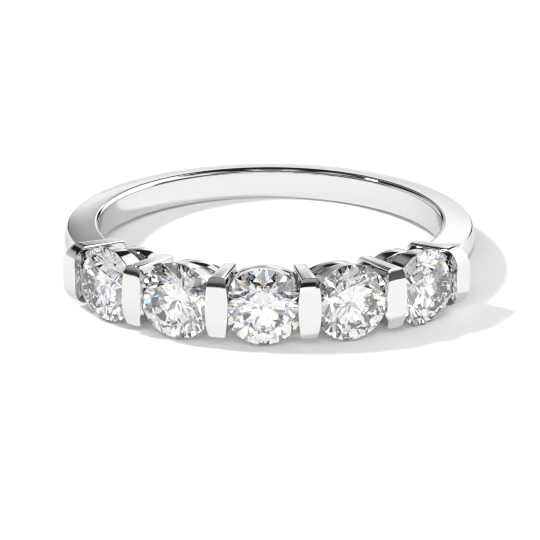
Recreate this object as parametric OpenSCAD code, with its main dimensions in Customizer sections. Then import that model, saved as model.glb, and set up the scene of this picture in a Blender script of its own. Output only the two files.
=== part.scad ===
// A ring with five round stones in a row, held between six upright bars.
// The ring lies on its side as it would on a table, with its stones towards -Y.
// The origin is the centre of the finger hole, +Z is up and the sizes are millimetres.

/* [Finger hole and shank] */
// Diameter of the finger hole
finger_hole_d = 17.2; // [16:0.1:19]
// Width of the shank along the finger, at its widest
shank_width = 1.66; // [1.5:0.02:2]
// Thickness of the shank from the finger hole to the crest of its dome
shank_thickness = 1.75; // [1.5:0.05:2]
// Height of the dome on the outside of the shank
dome_height = 0.16; // [0.1:0.02:0.25]
// Width of the shank where its sides meet the dome
dome_width = 1.26; // [1:0.02:1.4]
// Radius of the soft edges at the finger hole
soft_edge_r = 0.3; // [0.2:0.05:0.4]

/* [Stones] */
// Diameter of each stone
stone_d = 3.8; // [3.6:0.1:3.9]
// Height of each girdle's middle above the finger hole
girdle_rise = 2.55; // [2.45:0.05:2.7]
// Distance from the middle of each girdle to the next
stone_spacing = 4.26; // [4.2:0.02:4.4]
// Diameter of the table as a share of the stone's diameter
table_share = 0.57; // [0.53:0.01:0.62]
// Angle of the crown's main facets
crown_angle = 34.5; // [32:0.5:36]
// Angle of the pavilion's main facets
pavilion_angle = 40.75; // [40:0.25:41.5]
// Thickness of the girdle
girdle_thickness = 0.1; // [0.06:0.01:0.14]

/* [Bars] */
// Height of each bar's flat face above the finger hole
bar_rise = 3.15; // [3.05:0.05:3.3]
// Length of a bar along the finger
bar_length = 3.04; // [2.9:0.02:3.2]
// Length of the flat part of a bar's face
bar_flat_length = 1.4; // [1.2:0.1:1.6]
// How far a bar's face falls away from its flat part to its ends
bar_fall = 0.22; // [0.15:0.01:0.3]
// Width of a bar's face at the middle of its length
bar_width = 1.12; // [1:0.02:1.2]
// Width of a bar's face at its ends
bar_end_width = 0.8; // [0.7:0.02:0.9]
// Width of a bar at the finger hole
bar_foot_width = 0.58; // [0.5:0.02:0.7]
// How much shorter a bar is at the finger hole, at each end
bar_lean = 0.16; // [0.1:0.02:0.3]
// Radius of the shoulders of the two end bars
shoulder_r = 0.9; // [0.6:0.05:1]
// Radius of the rounded feet of the bars
foot_r = 0.25; // [0.15:0.05:0.3]

/* [Collars and base rail] */
// Width of the collar behind each stone, at its middle, along the finger
collar_width = 3.28; // [3.2:0.02:3.6]
// Radius of the arches above and below each collar
collar_arch_r = 2.4; // [2.2:0.05:2.6]
// Diameter of the light well through each collar
collar_well_d = 2.5; // [2:0.1:2.8]
// Distance from the girdle back to the collar's far side
collar_depth = 1.1; // [0.9:0.05:1.2]
// Thickness of the base rail at the finger hole
base_thickness = 0.75; // [0.5:0.05:0.8]
// Width of the base rail behind the middle of each stone, along the finger
base_width = 2.66; // [2.6:0.02:2.8]
// Radius of the arches above and below the base rail behind each stone
base_arch_r = 2.3; // [2.1:0.05:2.5]
// Diameter of the opening in the base rail under each stone
base_opening_d = 1.5; // [1.2:0.1:1.6]

/* [Hidden] */
$fn = 160;

// Distances from the ring's axis, and the angle from each stone to the next
stone_count = 5;
bar_count = stone_count + 1;
bore_r = finger_hole_d / 2;
girdle_r = bore_r + girdle_rise;
bar_face_r = bore_r + bar_rise;
stone_pitch = 2 * asin(stone_spacing / 2 / girdle_r);
head_half_angle = stone_pitch * (bar_count - 1) / 2;

// The shank's section
crest_r = bore_r + shank_thickness;
dome_edge_r = crest_r - dome_height;
shank_half = shank_width / 2;
dome_half = dome_width / 2;
dome_r = (pow(dome_half, 2) + pow(dome_height, 2)) / (2 * dome_height);
edge_centre_r = bore_r + soft_edge_r;
edge_centre_z = shank_half - soft_edge_r;
side_lean = atan((shank_half - dome_half) / (dome_edge_r - edge_centre_r));

// The stones: crown and pavilion depths follow from their angles
stone_r = stone_d / 2;
half_girdle = girdle_thickness / 2;
table_r = stone_r * table_share;
crown_height = (stone_r - table_r) * tan(crown_angle);
pavilion_depth = stone_r * tan(pavilion_angle);
main_facets = 8;
half_facet = 180 / main_facets;
star_tip_r = (table_r * cos(half_facet) + stone_r) / 2;
lower_tip_share = 0.23;
lower_tip_r = stone_r * lower_tip_share;
seat_gap = 0.04;

// How far a cut runs past the metal that it goes through
spare = 0.2;

// The bars: the face bends from its flat part to a crease, then the end leans in
bar_half = bar_length / 2;
crease_r = bar_face_r - bar_fall;
bend_run = bar_half - bar_flat_length / 2;
bend_r = (pow(bend_run, 2) + pow(bar_fall, 2)) / (2 * bar_fall);
foot_centre_r = bore_r + foot_r;
foot_half = bar_half - bar_lean;
foot_centre_z = foot_half - foot_r;
side_fall = (bar_width - bar_end_width) / 2;
side_bow_r = (pow(bar_half, 2) + pow(side_fall, 2)) / (2 * side_fall);

// The shoulders of the end bars: an arc that touches the face and the leaning end
lean_angle = atan(bar_lean / (crease_r - foot_centre_r));
shoulder_centre_r = bar_face_r - shoulder_r;
shoulder_centre_z = foot_half - shoulder_r / cos(lean_angle)
    + (shoulder_centre_r - foot_centre_r) * tan(lean_angle);

// The ring rests on the girdles of its two outer stones and on the back of the shank
front_rest_y = girdle_r * cos(stone_pitch * (stone_count - 1) / 2);
rest_tilt = atan((stone_r - shank_half) / (front_rest_y + edge_centre_r));

// Lays the upright ring back until it rests
module as_it_rests() {
    rotate([-rest_tilt, 0, 0]) children();
}

// Turns a child drawn outwards along +X to an angle from the middle of the head
module facing(angle) {
    rotate([0, 0, angle - 90]) children();
}

// Half of the plane beyond a distance from the axis
module beyond(distance) {
    translate([distance, -bar_length]) square([crest_r, 2 * bar_length]);
}

// The shank's section: flat wall at the finger, soft edges, leaning sides and a low dome
module shank_section() {
    lean_r = edge_centre_r + soft_edge_r * sin(side_lean);
    lean_z = edge_centre_z + soft_edge_r * cos(side_lean);
    polygon([
        [bore_r, -edge_centre_z],
        [lean_r, -lean_z],
        [dome_edge_r, -dome_half],
        [dome_edge_r, dome_half],
        [lean_r, lean_z],
        [bore_r, edge_centre_z]
    ]);
    for (side = [-1, 1]) {
        translate([edge_centre_r, side * edge_centre_z]) circle(soft_edge_r);
    }
    intersection() {
        translate([crest_r - dome_r, 0]) circle(dome_r);
        beyond(dome_edge_r);
    }
}

// The shank runs round the back, from the middle of one end bar to the middle of the other
module shank() {
    rotate([0, 0, head_half_angle - 90])
        rotate_extrude(angle = 360 - 2 * head_half_angle) shank_section();
}

// The foot that every bar ends in, seen from its side
module bar_foot() {
    translate([bore_r - spare, -foot_centre_z]) square([foot_r + spare, 2 * foot_centre_z]);
    for (side = [-1, 1]) {
        translate([foot_centre_r, side * foot_centre_z]) circle(foot_r);
    }
}

// A bar seen from its side: distance from the ring's axis against height
module bar_side() {
    bar_foot();
    polygon([
        [foot_centre_r, -foot_half],
        [crease_r, -bar_half],
        [crease_r, bar_half],
        [foot_centre_r, foot_half]
    ]);
    translate([crease_r - spare, -bar_flat_length / 2])
        square([bar_fall + spare, bar_flat_length]);
    for (side = [-1, 1]) {
        intersection() {
            translate([bar_face_r - bend_r, side * bar_flat_length / 2]) circle(bend_r);
            beyond(crease_r);
        }
    }
}

// An end bar seen from its side: round shoulders take the place of the bend and the crease
module end_bar_side() {
    touch_r = shoulder_centre_r - shoulder_r * sin(lean_angle);
    touch_z = shoulder_centre_z + shoulder_r * cos(lean_angle);
    bar_foot();
    polygon([
        [foot_centre_r, -foot_half],
        [touch_r, -touch_z],
        [bar_face_r, -shoulder_centre_z],
        [bar_face_r, shoulder_centre_z],
        [touch_r, touch_z],
        [foot_centre_r, foot_half]
    ]);
    for (side = [-1, 1]) {
        translate([shoulder_centre_r, side * shoulder_centre_z]) circle(shoulder_r);
    }
}

// A bar's face seen from outside: two bowed sides
module bar_face() {
    intersection_for (side = [-1, 1]) {
        translate([side * (side_bow_r - bar_width / 2), 0]) circle(side_bow_r);
    }
}

// A bar seen from its end: it narrows towards the finger
module bar_end() {
    polygon([
        [bore_r - spare, -bar_foot_width / 2],
        [bar_face_r + spare, -bar_width / 2],
        [bar_face_r + spare, bar_width / 2],
        [bore_r - spare, bar_foot_width / 2]
    ]);
}

// A bar cut from one of the two side views
module bar() {
    intersection() {
        rotate([90, 0, 0]) linear_extrude(2 * bar_width, center = true) children();
        rotate([90, 0, 90]) linear_extrude(bar_face_r + spare) bar_face();
        linear_extrude(2 * bar_length, center = true) bar_end();
    }
}

// A form with an arch above and one below, seen along the stone's axis
module arched(width, arch_r) {
    intersection_for (side = [-1, 1]) {
        translate([0, side * (arch_r - width / 2)]) circle(arch_r);
    }
}

// The collar holds the stone's pavilion just behind its girdle
module collar() {
    translate([girdle_r - collar_depth, 0, 0]) difference() {
        rotate([90, 0, 90]) linear_extrude(collar_depth - half_girdle)
            arched(collar_width, collar_arch_r);
        rotate([0, 90, 0]) cylinder(d = collar_well_d, h = 2 * collar_depth, center = true);
    }
}

// The base rail joins the feet of the bars along the finger hole, with its edges arched
module base_rail() {
    difference() {
        intersection() {
            rotate([0, 0, -head_half_angle - 90])
                rotate_extrude(angle = 2 * head_half_angle)
                    translate([bore_r - spare, -base_width])
                        square([base_thickness + spare, 2 * base_width]);
            union() {
                for (place = [1:stone_count]) {
                    facing(stone_angle(place)) rotate([90, 0, 90]) linear_extrude(girdle_r)
                        arched(base_width, base_arch_r);
                }
            }
        }
        for (place = [1:stone_count]) {
            facing(stone_angle(place)) rotate([0, 90, 0])
                cylinder(d = base_opening_d, h = girdle_r);
        }
    }
}

// The space a stone needs: its own form with a small gap all round
module stone_space() {
    reach = stone_r + seat_gap;
    crown_rise = (reach - table_r) * tan(crown_angle);
    translate([girdle_r, 0, 0]) rotate([0, 90, 0]) rotate_extrude()
        polygon([
            [0, -half_girdle - seat_gap - reach * tan(pavilion_angle)],
            [reach, -half_girdle - seat_gap],
            [reach, half_girdle + seat_gap],
            [table_r, half_girdle + seat_gap + crown_rise],
            [table_r, half_girdle + crown_height + spare],
            [0, half_girdle + crown_height + spare]
        ]);
}

function stone_angle(place) = (place - (stone_count + 1) / 2) * stone_pitch;
function bar_angle(place) = (place - (bar_count + 1) / 2) * stone_pitch;

module band_and_bars() {
    color("lightgray") as_it_rests() difference() {
        union() {
            shank();
            difference() {
                union() {
                    for (place = [2:bar_count - 1]) facing(bar_angle(place)) bar() bar_side();
                    for (place = [1, bar_count]) facing(bar_angle(place)) bar() end_bar_side();
                    for (place = [1:stone_count]) facing(stone_angle(place)) collar();
                    base_rail();
                }
                cylinder(r = bore_r, h = 4 * bar_length, center = true);
            }
        }
        for (place = [1:stone_count]) facing(stone_angle(place)) stone_space();
    }
}

// A ring of points at one distance from the stone's axis and one height on it
function ring_of(count, radius, height, start) =
    [for (i = [0:count - 1])
        let (angle = start + i * 360 / count)
        [height, radius * cos(angle), radius * sin(angle)]];

// A round brilliant: table, stars, kites, girdle, pavilion mains and lower halves
function brilliant_points() =
    let (
        star_tip_z = half_girdle + crown_height
            * (stone_r - star_tip_r * cos(half_facet)) / (stone_r - table_r),
        lower_tip_z = -half_girdle - pavilion_depth
            * (stone_r - lower_tip_r * cos(half_facet)) / stone_r
    )
    concat(
        ring_of(main_facets, table_r, half_girdle + crown_height, 0),
        ring_of(main_facets, star_tip_r, star_tip_z, half_facet),
        ring_of(2 * main_facets, stone_r, half_girdle, 0),
        ring_of(2 * main_facets, stone_r, -half_girdle, 0),
        ring_of(main_facets, lower_tip_r, lower_tip_z, half_facet),
        [[-half_girdle - pavilion_depth, 0, 0]]
    );

module stone(place) {
    points = brilliant_points();
    color("aliceblue") as_it_rests() facing(stone_angle(place)) translate([girdle_r, 0, 0])
        hull() polyhedron(points = points, faces = [[for (i = [0:len(points) - 1]) i]]);
}

band_and_bars();
stone(1);  // stone_1
stone(2);  // stone_2
stone(3);  // stone_3
stone(4);  // stone_4
stone(5);  // stone_5
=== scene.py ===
import math

import bmesh
import bpy
from mathutils import Matrix, Vector


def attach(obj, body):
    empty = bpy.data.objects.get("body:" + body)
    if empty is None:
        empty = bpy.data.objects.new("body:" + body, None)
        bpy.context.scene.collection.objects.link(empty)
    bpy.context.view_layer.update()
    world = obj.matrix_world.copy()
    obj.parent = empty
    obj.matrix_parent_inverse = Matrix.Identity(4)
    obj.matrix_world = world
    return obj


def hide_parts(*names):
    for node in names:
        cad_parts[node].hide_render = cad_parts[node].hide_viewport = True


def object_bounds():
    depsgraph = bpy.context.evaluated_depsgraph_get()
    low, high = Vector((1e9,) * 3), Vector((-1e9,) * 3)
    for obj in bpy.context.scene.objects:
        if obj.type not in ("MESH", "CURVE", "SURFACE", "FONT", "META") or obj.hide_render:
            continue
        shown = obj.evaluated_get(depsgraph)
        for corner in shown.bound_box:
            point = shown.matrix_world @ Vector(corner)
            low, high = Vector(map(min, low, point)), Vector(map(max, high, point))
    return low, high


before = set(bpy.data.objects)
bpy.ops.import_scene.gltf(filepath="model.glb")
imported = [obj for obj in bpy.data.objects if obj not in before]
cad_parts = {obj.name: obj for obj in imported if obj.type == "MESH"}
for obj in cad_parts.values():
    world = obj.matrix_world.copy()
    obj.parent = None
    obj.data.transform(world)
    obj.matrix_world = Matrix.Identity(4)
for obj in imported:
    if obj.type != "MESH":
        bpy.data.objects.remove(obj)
cad_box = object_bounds()
scene = bpy.context.scene

# The camera. The ring is seen through a long lens from in front, a little to its right
# and from above, so that the row of stones and the whole finger hole show. The ring lies
# a little tilted, because its head is wider than the back of its shank.
MM = 0.001
rest_tilt = math.radians(3.61986)
as_it_rests = Matrix.Rotation(-rest_tilt, 4, "X")
camera_turn = math.radians(1.64)
camera_rise = math.radians(18.6)
camera_distance = 201.17 * MM
aim = Vector((0, 0, -1.89)) * MM

camera_data = bpy.data.cameras.new("camera")
camera_data.sensor_width = 36
camera_data.lens = 265.07
camera_data.clip_start = camera_distance / 10
camera_data.clip_end = camera_distance * 100
camera = bpy.data.objects.new("camera", camera_data)
camera.matrix_world = (
    as_it_rests
    @ Matrix.Translation(aim)
    @ Matrix.Rotation(camera_turn, 4, "Z")
    @ Matrix.Rotation(math.pi / 2 - camera_rise, 4, "X")
    @ Matrix.Translation((0, 0, camera_distance))
)
scene.collection.objects.link(camera)
scene.camera = camera

# The shank. A bar of white gold bent round the finger, flat inside with soft edges, with
# sides that lean in to a low dome. Its ends are soldered to the two end bars. Sizes are in
# millimetres, and each finished piece is scaled and tilted into place as a whole.
finger_hole_r = 8.6
stone_count = 5
stone_spacing = 4.26
girdle_rise = 2.55
girdle_r = finger_hole_r + girdle_rise
shank_half = 0.83
shank_crest_r = 10.35
dome_height = 0.16
dome_half = 0.63
dome_edge_r = shank_crest_r - dome_height
soft_edge = 0.3
crisp_edge = 0.05
side_lean = (shank_half - dome_half) / (dome_edge_r - finger_hole_r - soft_edge)
stone_pitch = 2 * math.asin(stone_spacing / 2 / girdle_r)
head_half_angle = stone_count * stone_pitch / 2
up = Vector((0, 0, 1))
centre = Vector((0, 0, 0))


def section(corners):
    """One face on the plane of the ring's axis. A corner is (distance from the axis, height)."""
    form = bmesh.new()
    form.faces.new([form.verts.new((away, 0, height)) for away, height in corners])
    return form


def round_corners(form, corners, radius, steps):
    """Rounds the given corners of a flat section."""
    bmesh.ops.bevel(
        form, geom=corners, offset=radius, offset_type="OFFSET", segments=steps,
        profile=0.5, affect="VERTICES", material=-1,
    )


def sweep(form, start, angle, steps):
    """Turns a section part of the way round the ring, and leaves it closed at both ends."""
    bmesh.ops.rotate(form, verts=form.verts, cent=centre, matrix=Matrix.Rotation(start, 3, up))
    bmesh.ops.spin(
        form, geom=form.verts[:] + form.edges[:] + form.faces[:], cent=centre, axis=up,
        dvec=centre, angle=angle, steps=steps, use_merge=False,
    )
    bmesh.ops.recalc_face_normals(form, faces=form.faces)


corner_half = shank_half + side_lean * soft_edge
dome_r = (dome_half ** 2 + dome_height ** 2) / (2 * dome_height)
dome_reach = math.asin(dome_half / dome_r)
dome_steps = 12
shank_steps = 200
dome = []
for step in range(dome_steps + 1):
    turn = dome_reach * (2 * step / dome_steps - 1)
    dome.append((shank_crest_r - dome_r + dome_r * math.cos(turn), dome_r * math.sin(turn)))
shank = section([(finger_hole_r, -corner_half), *dome, (finger_hole_r, corner_half)])
shank.verts.ensure_lookup_table()
corners_on_finger = [shank.verts[0], shank.verts[-1]]
corners_beside_dome = [shank.verts[1], shank.verts[-2]]
round_corners(shank, corners_on_finger, soft_edge, 8)
round_corners(shank, corners_beside_dome, crisp_edge, 3)
sweep(shank, head_half_angle - math.pi / 2, 2 * math.pi - 2 * head_half_angle, shank_steps)

# The bars. Six upright bars of the same metal, one on each side of every stone. The inner
# four have a flat face that rolls over to a crease, and the two end bars round shoulders.
bar_count = stone_count + 1
bar_face_r = 11.75
bar_half = 1.52
bar_flat_half = 0.7
bar_fall = 0.22
bar_half_width = 0.56
bar_end_half_width = 0.4
bar_foot_half_width = 0.3
bar_lean_in, bar_lean_height = 0.16, 2.68
bar_lean = math.atan(bar_lean_in / bar_lean_height)
bar_edge = 0.12
bar_corner = 0.12
foot_r = 0.25
foot_half = 1.36
foot_set_back = 0.01
foot_steps = 4
shoulder_r = 0.9
bar_steps = 60
bar_crease = math.radians(35)

bend_run = bar_half - bar_flat_half
bend_r = (bend_run ** 2 + bar_fall ** 2) / (2 * bar_fall)
shoulder_rise = (bar_face_r - shoulder_r - finger_hole_r - foot_r) * math.tan(bar_lean)
shoulder_start = foot_half + shoulder_rise - shoulder_r / math.cos(bar_lean)


def bar_half_width_at(away, height):
    """Half of a bar's width, less towards its ends and towards the finger."""
    at_face = bar_half_width - (bar_half_width - bar_end_half_width) * (height / bar_half) ** 2
    share = (away - finger_hole_r) / (bar_face_r - finger_hole_r)
    return min(at_face, bar_foot_half_width + (bar_half_width - bar_foot_half_width) * share)


def carve_bar(flat_half, roll_r, roll_angle):
    """A bar that points along +X, from its face's flat part and the roll at both its ends.

    A grid is bent to the face, and its rim is then drawn in towards the finger, to the foot.
    """
    bar = bmesh.new()
    flat_share = 0.2
    bmesh.ops.create_grid(bar, x_segments=4, y_segments=bar_steps, size=1)
    last_away, last_half = None, flat_half + roll_r * math.sin(roll_angle)
    for v in bar.verts:
        share = abs(v.co.y)
        roll = roll_angle * max(0, share - flat_share) / (1 - flat_share)
        height = flat_half * min(1, share / flat_share) + roll_r * math.sin(roll)
        away = bar_face_r - roll_r * (1 - math.cos(roll))
        into_corner = min(1, max(0, 1 - (last_half - height) / bar_corner))
        rounding = bar_corner * (1 - math.sqrt(1 - into_corner ** 2))
        half_width = bar_half_width_at(away, height) - rounding
        v.co = (away, v.co.x * half_width, math.copysign(height, v.co.y))
    rim = [e for e in bar.edges if e.is_boundary]
    for step in range(foot_steps + 1):
        turn = math.pi / 2 * step / foot_steps
        away = finger_hole_r + foot_set_back + foot_r * (1 - math.sin(turn))
        half = foot_half - foot_r * (1 - math.cos(turn))
        grown = bmesh.ops.extrude_edge_only(bar, edges=rim)["geom"]
        for v in [g for g in grown if isinstance(g, bmesh.types.BMVert)]:
            height = v.co.z * half / last_half
            narrowing = bar_half_width_at(away, height) / bar_half_width_at(
                last_away or bar_face_r, v.co.z)
            v.co = (away, v.co.y * narrowing, height)
        rim = [g for g in grown if isinstance(g, bmesh.types.BMEdge) and g.is_boundary]
        last_away, last_half = away, half
    bmesh.ops.contextual_create(bar, geom=rim)
    bmesh.ops.recalc_face_normals(bar, faces=bar.faces)
    corners = [e for e in bar.edges if e.calc_face_angle() > bar_crease]
    bmesh.ops.bevel(
        bar, geom=corners, offset=bar_edge, offset_type="OFFSET", segments=4, profile=0.5,
        affect="EDGES", material=-1, clamp_overlap=True,
    )
    return bar


def repeat_round_head(form, count, pitch=stone_pitch):
    """Copies a form that points along +X to its places along the head, evenly spaced."""
    first = -math.pi / 2 - pitch * (count - 1) / 2
    bmesh.ops.rotate(form, verts=form.verts, cent=centre, matrix=Matrix.Rotation(first, 3, "Z"))
    bmesh.ops.spin(
        form, geom=form.verts[:] + form.edges[:] + form.faces[:], cent=centre, axis=up,
        dvec=centre, angle=pitch * (count - 1), steps=count - 1, use_duplicate=True,
    )


inner_bars = carve_bar(bar_flat_half, bend_r, math.asin(bend_run / bend_r))
repeat_round_head(inner_bars, bar_count - 2)
end_bars = carve_bar(shoulder_start, shoulder_r, math.pi / 2 - bar_lean)
repeat_round_head(end_bars, 2, stone_pitch * (bar_count - 1))

# The collars. One behind each stone, of the same metal, arched above and below, with an open
# well through it that lets light in behind the stone.
collar_half = 1.64
collar_arch_r = 2.4
collar_front = 0.05
collar_back = 1.1
collar_edge = 0.06
collar_crease = math.radians(60)
well_r = 1.25
well_depth = 1.4
arch_steps = 40

collars = bmesh.new()
arch_reach = math.acos((collar_arch_r - collar_half) / collar_arch_r)
outline = []
for side in (1, -1):
    for step in range(arch_steps):
        turn = arch_reach * (1 - 2 * step / arch_steps)
        outline.append(collars.verts.new((
            girdle_r - collar_front,
            side * collar_arch_r * math.sin(turn),
            side * (collar_arch_r * math.cos(turn) - collar_arch_r + collar_half),
        )))
grown = bmesh.ops.extrude_face_region(collars, geom=[collars.faces.new(outline)])["geom"]
bmesh.ops.translate(
    collars, verts=[g for g in grown if isinstance(g, bmesh.types.BMVert)],
    vec=(collar_front - collar_back, 0, 0),
)
bmesh.ops.recalc_face_normals(collars, faces=collars.faces)
bmesh.ops.bevel(
    collars, geom=[e for e in collars.edges if e.calc_face_angle() > collar_crease],
    offset=collar_edge, offset_type="OFFSET", segments=4, profile=0.5, affect="EDGES",
    material=-1,
)


def point_outwards(form):
    """Lays a form that stands on the finger hole's centre along +X, out to the girdles."""
    bmesh.ops.transform(
        form, verts=form.verts,
        matrix=Matrix.Translation((girdle_r, 0, 0)) @ Matrix.Rotation(math.pi / 2, 4, "Y"),
    )


def drill(radius, start, end):
    """Round cutters, one behind each stone, from one depth behind its girdle to another."""
    cutters = bmesh.new()
    bmesh.ops.create_cone(
        cutters, cap_ends=True, segments=64, radius1=radius, radius2=radius, depth=end - start,
        matrix=Matrix.Translation((0, 0, -(start + end) / 2)),
    )
    point_outwards(cutters)
    repeat_round_head(cutters, stone_count)
    return cutters


def workpiece(form, name):
    """Ends the shaping of a form, and puts it on the bench as an object."""
    mesh = bpy.data.meshes.new(name)
    form.to_mesh(mesh)
    form.free()
    piece = bpy.data.objects.new(name, mesh)
    scene.collection.objects.link(piece)
    return piece


def solder(piece, tools):
    """Joins solids to a piece or cuts them out of it, in turn, and gives back its form."""
    for tool, action in tools:
        step = piece.modifiers.new(tool.name, "BOOLEAN")
        step.operation = action
        step.solver = "EXACT"
        step.use_self = action == "DIFFERENCE"
        step.object = tool
    soldered = piece.evaluated_get(bpy.context.evaluated_depsgraph_get())
    form = bmesh.new()
    form.from_mesh(soldered.to_mesh())
    for scrap in [piece] + [tool for tool, action in tools]:
        bpy.data.objects.remove(scrap)
    return form


wells = workpiece(drill(well_r, 0, well_depth), "wells")
repeat_round_head(collars, stone_count)
collars = solder(workpiece(collars, "collars"), [(wells, "DIFFERENCE")])

# The base rail. A strip of the same metal along the finger hole that joins the feet of the
# bars. It is arched behind each stone, and drilled there to let light in.
base_half = 1.33
base_arch_r = 2.3
base_thickness = 0.75
base_edge = 0.06
base_steps = 160
base_drill_r = 0.75
base_drill_start = 1.6
base_drill_end = 3

base_rail = section([
    (finger_hole_r, -base_half),
    (finger_hole_r + base_thickness, -base_half),
    (finger_hole_r + base_thickness, base_half),
    (finger_hole_r, base_half),
])
round_corners(base_rail, base_rail.verts[:], base_edge, 3)
sweep(base_rail, -math.pi / 2 - head_half_angle, 2 * head_half_angle, base_steps)
for v in base_rail.verts:
    around = (math.atan2(v.co.y, v.co.x) + math.pi / 2) / stone_pitch
    from_stone = finger_hole_r * math.sin((around - round(around)) * stone_pitch)
    arch = math.sqrt(base_arch_r ** 2 - from_stone ** 2) - base_arch_r + base_half
    v.co.z *= arch / base_half
drills = workpiece(drill(base_drill_r, base_drill_start, base_drill_end), "drills")
base_rail = solder(workpiece(base_rail, "base_rail"), [(drills, "DIFFERENCE")])

# The seats. Once the metal is soldered into one piece, a burr of a stone's own shape cuts a
# seat for each stone, a hair wider than the stone. Then the whole piece is polished.
seat_gap = 0.04
seat_steps = 120
stone_r = 1.9
half_girdle = 0.05
table_share = 0.57
table_r = stone_r * table_share
crown_slope = math.tan(math.radians(34.5))
pavilion_slope = math.tan(math.radians(40.75))
crown_height = (stone_r - table_r) * crown_slope
pavilion_depth = stone_r * pavilion_slope
weld_distance = 1e-4
sharp_from = math.radians(32)


def turn_whole(form):
    """Turns the outline of a section all the way round, as on a lathe."""
    bmesh.ops.delete(form, geom=form.faces[:], context="FACES_ONLY")
    on_axis = [e for e in form.edges if all(v.co.x < 1e-6 for v in e.verts)]
    bmesh.ops.delete(form, geom=on_axis, context="EDGES")
    bmesh.ops.spin(
        form, geom=form.verts[:] + form.edges[:], cent=centre, axis=up, dvec=centre,
        angle=2 * math.pi, steps=seat_steps, use_merge=True,
    )
    bmesh.ops.remove_doubles(form, verts=form.verts, dist=1e-5)
    bmesh.ops.recalc_face_normals(form, faces=form.faces)


seat_r = stone_r + seat_gap
seat_half = half_girdle + seat_gap
burr_top = 2 * crown_height
seats = section([
    (0, -seat_half - seat_r * pavilion_slope),
    (seat_r, -seat_half),
    (seat_r, seat_half),
    (table_r, seat_half + (seat_r - table_r) * crown_slope),
    (table_r, burr_top),
    (0, burr_top),
])
turn_whole(seats)
point_outwards(seats)
repeat_round_head(seats, stone_count)

metal = solder(workpiece(shank, "shank"), [
    (workpiece(inner_bars, "inner_bars"), "UNION"),
    (workpiece(end_bars, "end_bars"), "UNION"),
    (workpiece(collars, "collars"), "UNION"),
    (workpiece(base_rail, "base_rail"), "UNION"),
    (workpiece(seats, "seats"), "DIFFERENCE"),
])
bmesh.ops.remove_doubles(metal, verts=metal.verts, dist=weld_distance)
bmesh.ops.dissolve_degenerate(metal, edges=metal.edges, dist=weld_distance)
bmesh.ops.transform(metal, verts=metal.verts, matrix=as_it_rests @ Matrix.Scale(MM, 4))
for face in metal.faces:
    face.smooth = True
band = workpiece(metal, "band_of_white_gold")
band.data.set_sharp_from_angle(angle=sharp_from)

# Each normal follows the largest face beside it, so that flat polished faces mirror flat.
flat_faces = band.modifiers.new("flat_faces", "WEIGHTED_NORMAL")
flat_faces.mode = "FACE_AREA"
flat_faces.weight = 100
flat_faces.keep_sharp = True
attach(band, "root")
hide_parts("band_and_bars")


class Socket:
    """One socket of a node tree. Sums and products of sockets add Math nodes to the tree."""

    def __init__(self, tree, link):
        self.tree = tree
        self.link = link

    def node(self, kind, settings=None, inputs=None, output=0):
        """Adds a node with its settings, then fills its sockets with values or links."""
        made = self.tree.nodes.new(kind)
        for name, value in (settings or {}).items():
            if name == "stops":
                ramp = made.color_ramp.elements
                for place, (position, colour) in enumerate(value):
                    stop = ramp[place] if place < 2 else ramp.new(position)
                    stop.position = position
                    stop.color = (*colour, 1)
            else:
                setattr(made, name, value)
        for name, value in (inputs or {}).items():
            if isinstance(value, Socket):
                self.tree.links.new(value.link, made.inputs[name])
            else:
                made.inputs[name].default_value = value
        return Socket(self.tree, made.outputs[output])

    def maths(self, operation, first, second):
        return self.node("ShaderNodeMath", {"operation": operation}, {0: first, 1: second})

    def __add__(self, other):
        return self.maths("ADD", self, other)

    __radd__ = __add__

    def __mul__(self, other):
        return self.maths("MULTIPLY", self, other)

    __rmul__ = __mul__

    def between(self, low, high):
        """0 below low, 1 above high, with a soft step from one to the other."""
        return self.node(
            "ShaderNodeMapRange", {"interpolation_type": "SMOOTHSTEP"},
            {"Value": self, "From Min": low, "From Max": high},
        )


def new_finish(name):
    """An empty material, and a socket of its tree to build from: the surface position."""
    finish = bpy.data.materials.new(name)
    finish.use_nodes = True
    tree = finish.node_tree
    tree.nodes.clear()
    place = Socket(tree, None).node("ShaderNodeTexCoord", output="Object")
    return finish, place


def end_tree(surface, kind="ShaderNodeOutputMaterial"):
    """Links the last node of a tree to its output."""
    surface.tree.links.new(surface.link, surface.tree.nodes.new(kind).inputs["Surface"])


def polished_white_gold():
    """Mirror polish with the faint haze and cloth lines that buffing leaves."""
    finish, place = new_finish("polished_white_gold")
    haze = place.node("ShaderNodeTexNoise", None, {"Vector": place, "Scale": 420.0, "Detail": 3.0})
    lines = place.node("ShaderNodeMapping", None, {"Vector": place, "Scale": (2600, 2600, 24000)})
    buffing = place.node("ShaderNodeTexNoise", None, {"Vector": lines, "Scale": 1.0, "Detail": 2.0})
    tint = place.node(
        "ShaderNodeMix", {"data_type": "RGBA"},
        {"Factor": haze, "A": (0.755, 0.755, 0.76, 1), "B": (0.78, 0.778, 0.775, 1)},
        output="Result",
    )
    relief = place.node(
        "ShaderNodeBump", None, {"Strength": 0.02, "Distance": 0.00001, "Height": buffing},
    )
    surface = place.node("ShaderNodeBsdfPrincipled", None, {
        "Base Color": tint,
        "Metallic": 1.0,
        "Roughness": 0.025 + 0.03 * haze,
        "Specular Tint": (0.74, 0.74, 0.74, 1),
        "Normal": relief,
    })
    end_tree(surface)
    return finish


band.data.materials.append(polished_white_gold())

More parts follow.
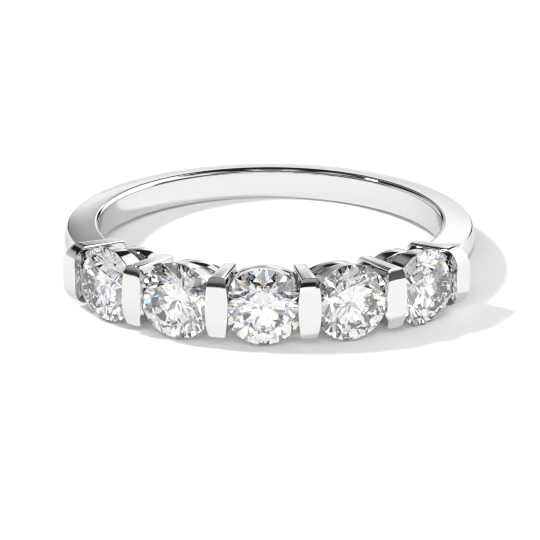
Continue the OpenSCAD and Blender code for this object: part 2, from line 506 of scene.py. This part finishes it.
# The stones. Five round brilliants of moissanite, each ground from a round blank one facet
# at a time: table, stars, kites and halves on the crown, mains and halves on the pavilion.
facet_count = 8
facet_turn = 2 * math.pi / facet_count
blank_length = 2 * pavilion_depth + 2
star_tip_r = (table_r * math.cos(facet_turn / 2) + stone_r) / 2
star_tip_height = half_girdle + crown_height * (
    (stone_r - star_tip_r * math.cos(facet_turn / 2)) / (stone_r - table_r)
)
lower_tip_share = 0.23
lower_tip_r = stone_r * lower_tip_share
lower_tip_height = -half_girdle - pavilion_depth * (
    1 - lower_tip_r * math.cos(facet_turn / 2) / stone_r
)
table_height = half_girdle + crown_height
culet = Vector((0, 0, -half_girdle - pavilion_depth))


def facet_corner(radius, turns, height):
    """A point of the stone's cut, some facets' turns round from its first corner."""
    angle = turns * facet_turn
    return Vector((radius * math.cos(angle), radius * math.sin(angle), height))


def grind(stone, corners):
    """Grinds away what lies beyond the plane through three corners, and closes the facet."""
    a, b, c = corners
    outwards = (b - a).cross(c - a).normalized()
    if outwards.dot(a) < 0:
        outwards.negate()
    cut = bmesh.ops.bisect_plane(
        stone, geom=stone.verts[:] + stone.edges[:] + stone.faces[:], dist=1e-5,
        plane_co=a, plane_no=outwards, clear_outer=True,
    )
    rim = [g for g in cut["geom_cut"] if isinstance(g, bmesh.types.BMEdge) and g.is_boundary]
    if rim:
        bmesh.ops.holes_fill(stone, edges=rim)


def brilliant():
    """A whole stone, with its table towards +Z and the middle of its girdle at the centre."""
    stone = bmesh.new()
    bmesh.ops.create_cone(
        stone, cap_ends=True, segments=96, radius1=stone_r, radius2=stone_r,
        depth=blank_length,
    )
    grind(stone, [facet_corner(table_r, turns, table_height) for turns in (0, 1, 2)])
    for turn in range(facet_count):
        crown_corner = facet_corner(stone_r, turn, half_girdle)
        crown_valley = facet_corner(stone_r, turn + 0.5, half_girdle)
        table_corner = facet_corner(table_r, turn, table_height)
        star_tip = facet_corner(star_tip_r, turn + 0.5, star_tip_height)
        under_corner = facet_corner(stone_r, turn, -half_girdle)
        under_valley = facet_corner(stone_r, turn + 0.5, -half_girdle)
        lower_tip = facet_corner(lower_tip_r, turn + 0.5, lower_tip_height)
        grind(stone, (crown_corner, table_corner, star_tip))
        grind(stone, (table_corner, facet_corner(table_r, turn + 1, table_height), star_tip))
        grind(stone, (crown_corner, crown_valley, star_tip))
        grind(stone, (facet_corner(stone_r, turn + 1, half_girdle), crown_valley, star_tip))
        grind(stone, (under_corner, culet, lower_tip))
        grind(stone, (under_corner, under_valley, lower_tip))
        grind(stone, (facet_corner(stone_r, turn + 1, -half_girdle), under_valley, lower_tip))
    bmesh.ops.recalc_face_normals(stone, faces=stone.faces)
    return stone


def clear_moissanite():
    """Clear, with a refraction close to moissanite's, and a base colour a little below white that
    dims the light through it. Faint pastel tints in small cells are painted into that colour as
    flashes of fire.
    """
    finish, place = new_finish("moissanite")
    # Painted fire: each small cell tints the base colour a faint blue, grey or amber, in place of
    # the coloured flashes that dispersion gives.
    cells = place.node(
        "ShaderNodeTexVoronoi", None, {"Vector": place, "Scale": 3000.0}, output="Color",
    )
    chance = place.node("ShaderNodeSeparateColor", None, {0: cells})
    painted_fire = [
        (0.0, (0.66, 0.74, 0.88)), (0.18, (0.82, 0.84, 0.88)), (0.4, (0.86, 0.86, 0.86)),
        (0.6, (0.74, 0.74, 0.77)), (0.82, (0.88, 0.85, 0.82)), (1.0, (0.88, 0.78, 0.67)),
    ]
    tint = place.node("ShaderNodeValToRGB", {"stops": painted_fire}, {0: chance})
    surface = place.node("ShaderNodeBsdfPrincipled", None, {
        "Base Color": tint,
        "Roughness": 0.0,
        "IOR": 2.65,
        "Transmission Weight": 1.0,
    })
    end_tree(surface)
    return finish


moissanite = clear_moissanite()
for number in range(1, stone_count + 1):
    stone = brilliant()
    point_outwards(stone)
    around = stone_pitch * (number - (stone_count + 1) / 2) - math.pi / 2
    bmesh.ops.rotate(stone, verts=stone.verts, cent=centre, matrix=Matrix.Rotation(around, 3, up))
    bmesh.ops.transform(stone, verts=stone.verts, matrix=as_it_rests @ Matrix.Scale(MM, 4))
    gem = workpiece(stone, f"brilliant_{number}")
    gem.data.materials.append(moissanite)
    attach(gem, "root")
    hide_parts(f"stone_{number}")

# The floor. The ring lies on a wide sheet of matt white card that runs out of sight. It is
# cut round, and lies as low as the lowest point of the ring.
floor_r = 4000 * MM
floor_height = cad_box[0].z
card = bmesh.new()
bmesh.ops.create_circle(card, cap_ends=True, segments=96, radius=floor_r)
bmesh.ops.translate(card, verts=card.verts, vec=(0, 0, floor_height))
floor = workpiece(card, "floor")


def white_card():
    """Matt card, with the faint cloudiness of its fibres."""
    finish, place = new_finish("white_card")
    fibres = place.node(
        "ShaderNodeTexNoise", None, {"Vector": place, "Scale": 900.0, "Detail": 2.0},
    )
    tone = place.node(
        "ShaderNodeMix", {"data_type": "RGBA"},
        {"Factor": fibres, "A": (0.89, 0.89, 0.89, 1), "B": (0.91, 0.91, 0.91, 1)},
        output="Result",
    )
    surface = place.node("ShaderNodeBsdfPrincipled", None, {
        "Base Color": tone, "Roughness": 0.9, "Specular IOR Level": 0.1,
    })
    end_tree(surface)
    return finish


floor.data.materials.append(white_card())

# The light. One soft key lamp high on the left throws the shadow to the right, and a wide
# lamp in front lightens the shadow. Rows of small lamps and a wide veil in front shine
# through the stones alone, where they make the glints and the fire.
def add_lamp(name, strength, width, rise, turn):
    """A far lamp of a brightness. Its width, rise and turn from the front are in degrees."""
    data = bpy.data.lights.new(name, "SUN")
    data.angle = math.radians(width)
    data.energy = strength * math.pi * math.sin(data.angle / 2) ** 2
    lamp = bpy.data.objects.new(name, data)
    rise, turn = math.radians(rise), math.radians(turn)
    towards = Vector((
        math.cos(rise) * math.sin(turn), -math.cos(rise) * math.cos(turn), math.sin(rise),
    ))
    lamp.matrix_world = towards.to_track_quat("Z", "Y").to_matrix().to_4x4()
    scene.collection.objects.link(lamp)
    return lamp


add_lamp("key", 170.8, 7, 47.5, -96)
fill = add_lamp("fill", 3.85, 60, 26, 0)
fill.visible_glossy = False
fill.visible_transmission = False
cool, plain, warm = (0.45, 0.65, 1.0), (1.0, 1.0, 1.0), (1.0, 0.72, 0.4)
glint_colours = (cool, plain, warm, plain)
glint_rows = ((19, 48), (30, 60), (42, 48), (55, 72))
glint_step = 24
glint_number = 0
for rise, reach in glint_rows:
    for turn in range(-reach, reach + 1, glint_step):
        glint = add_lamp("glint", 1.6, 10, rise, turn)
        glint.data.color = glint_colours[glint_number % len(glint_colours)]
        glint.visible_diffuse = False
        glint.visible_glossy = False
        glint_number += 1
veil = add_lamp("veil", 0.14, 140, 45, 0)
veil.visible_diffuse = False
veil.visible_glossy = False

# The studio. A pale room stands all round, brighter and darker by height and side. Its dark
# gaps are what the polished metal mirrors as black lines along its edges.
studio = bpy.data.worlds.new("studio")
studio.use_nodes = True
studio.node_tree.nodes.clear()
scene.world = studio
towards = Socket(studio.node_tree, None).node("ShaderNodeTexCoord", output="Generated")
parts = towards.node("ShaderNodeSeparateXYZ", None, {0: towards}).link.node.outputs
right, back, height = (Socket(studio.node_tree, parts[axis]) for axis in "XYZ")
sky_strength = 3.0


def sky(*stops):
    """Brightness by elevation in degrees, the same all round."""
    ramp = [(math.sin(math.radians(rise)), (level / sky_strength,) * 3) for rise, level in stops]
    return towards.node("ShaderNodeValToRGB", {"stops": ramp}, {0: height})


def side_by_side(share, first, second):
    """The first sky where the share is 0, and the second where it is 1."""
    return towards.node(
        "ShaderNodeMix", {"data_type": "RGBA"}, {"Factor": share, "A": first, "B": second},
        output="Result",
    )


def across(first, *others):
    """Skies from left, -1, to right, 1. Each next one fades in between its two bounds."""
    mixed = first
    for low, high, other in others:
        mixed = side_by_side(right.between(low, high), mixed, other)
    return mixed


side_left = sky((0, 1.1), (3, 1.1), (6, 0.03), (14, 0.05), (22, 0.35), (30, 0.5), (36, 0.02))
outer_front = sky(
    (0, 1.2), (8, 1.2), (12, 0.05), (20, 0.05), (30, 0.3), (48, 0.35), (51, 0.7), (70, 0.7),
    (74, 0.02),
)
left_front = sky((0, 1.2), (8, 1.2), (12, 0.05), (20, 0.05), (30, 0.3), (45, 0.35), (50, 0.02))
mid_front = sky(
    (0, 1.25), (14, 1.25), (16, 0.02), (29, 0.02), (33, 0.4), (44, 0.6), (47, 0.7), (75, 0.7),
    (78, 0.02),
)
seam = sky((0, 1.25), (14, 1.25), (16, 0.15), (29, 0.15), (33, 0.3), (75, 0.3), (78, 0.02))
right_front = sky((0, 1.25), (14, 1.25), (16, 0.02), (29, 0.02), (33, 0.4), (44, 0.5), (47, 0.02))
side_right = sky((0, 0.15), (24, 0.1), (30, 1.3), (45, 1.3), (50, 0.02))
front_half = across(
    side_left, (-0.64, -0.58, outer_front), (-0.42, -0.38, left_front), (-0.24, -0.2, mid_front),
    (-0.11, -0.08, seam), (0.08, 0.11, mid_front), (0.17, 0.2, right_front),
    (0.37, 0.41, outer_front), (0.56, 0.62, side_right),
)
back_left = sky((0, 1.3), (5, 1.15), (8, 0.8), (14, 0.65), (25, 0.5), (29, 0.02))
left_edge = sky((0, 0.02), (12, 0.02), (20, 0.35), (50, 0.35), (60, 0.02))
behind_left = sky((0, 1.4), (5, 1.35), (8, 1.1), (14, 0.65), (20, 0.5), (23, 0.02))
behind_right = sky((0, 1.2), (5, 1.25), (8, 1.25), (14, 1.45), (20, 1.45), (23, 0.02))
right_edge = sky((0, 0.02), (14, 0.02), (20, 1.2), (55, 1.3), (60, 0.02))
back_right = sky((0, 1.2), (5, 1.25), (8, 1.25), (14, 1.5), (55, 1.5), (60, 0.02))
back_half = across(
    back_left, (-0.45, -0.4, left_edge), (-0.3, -0.15, behind_left),
    (-0.05, 0.05, behind_right), (0.17, 0.22, right_edge), (0.4, 0.45, back_right),
)
studio_sky = side_by_side((-1 * back).between(-0.05, 0.1), back_half, front_half)
light = towards.node("ShaderNodeBackground", None, {"Color": studio_sky, "Strength": sky_strength})
end_tree(light, "ShaderNodeOutputWorld")

scene.view_settings.view_transform = "Standard"
scene.cycles.filter_width = 1.2
scene.cycles.max_bounces = 20
scene.cycles.transmission_bounces = 20
scene.cycles.glossy_bounces = 8
scene.cycles.diffuse_bounces = 4
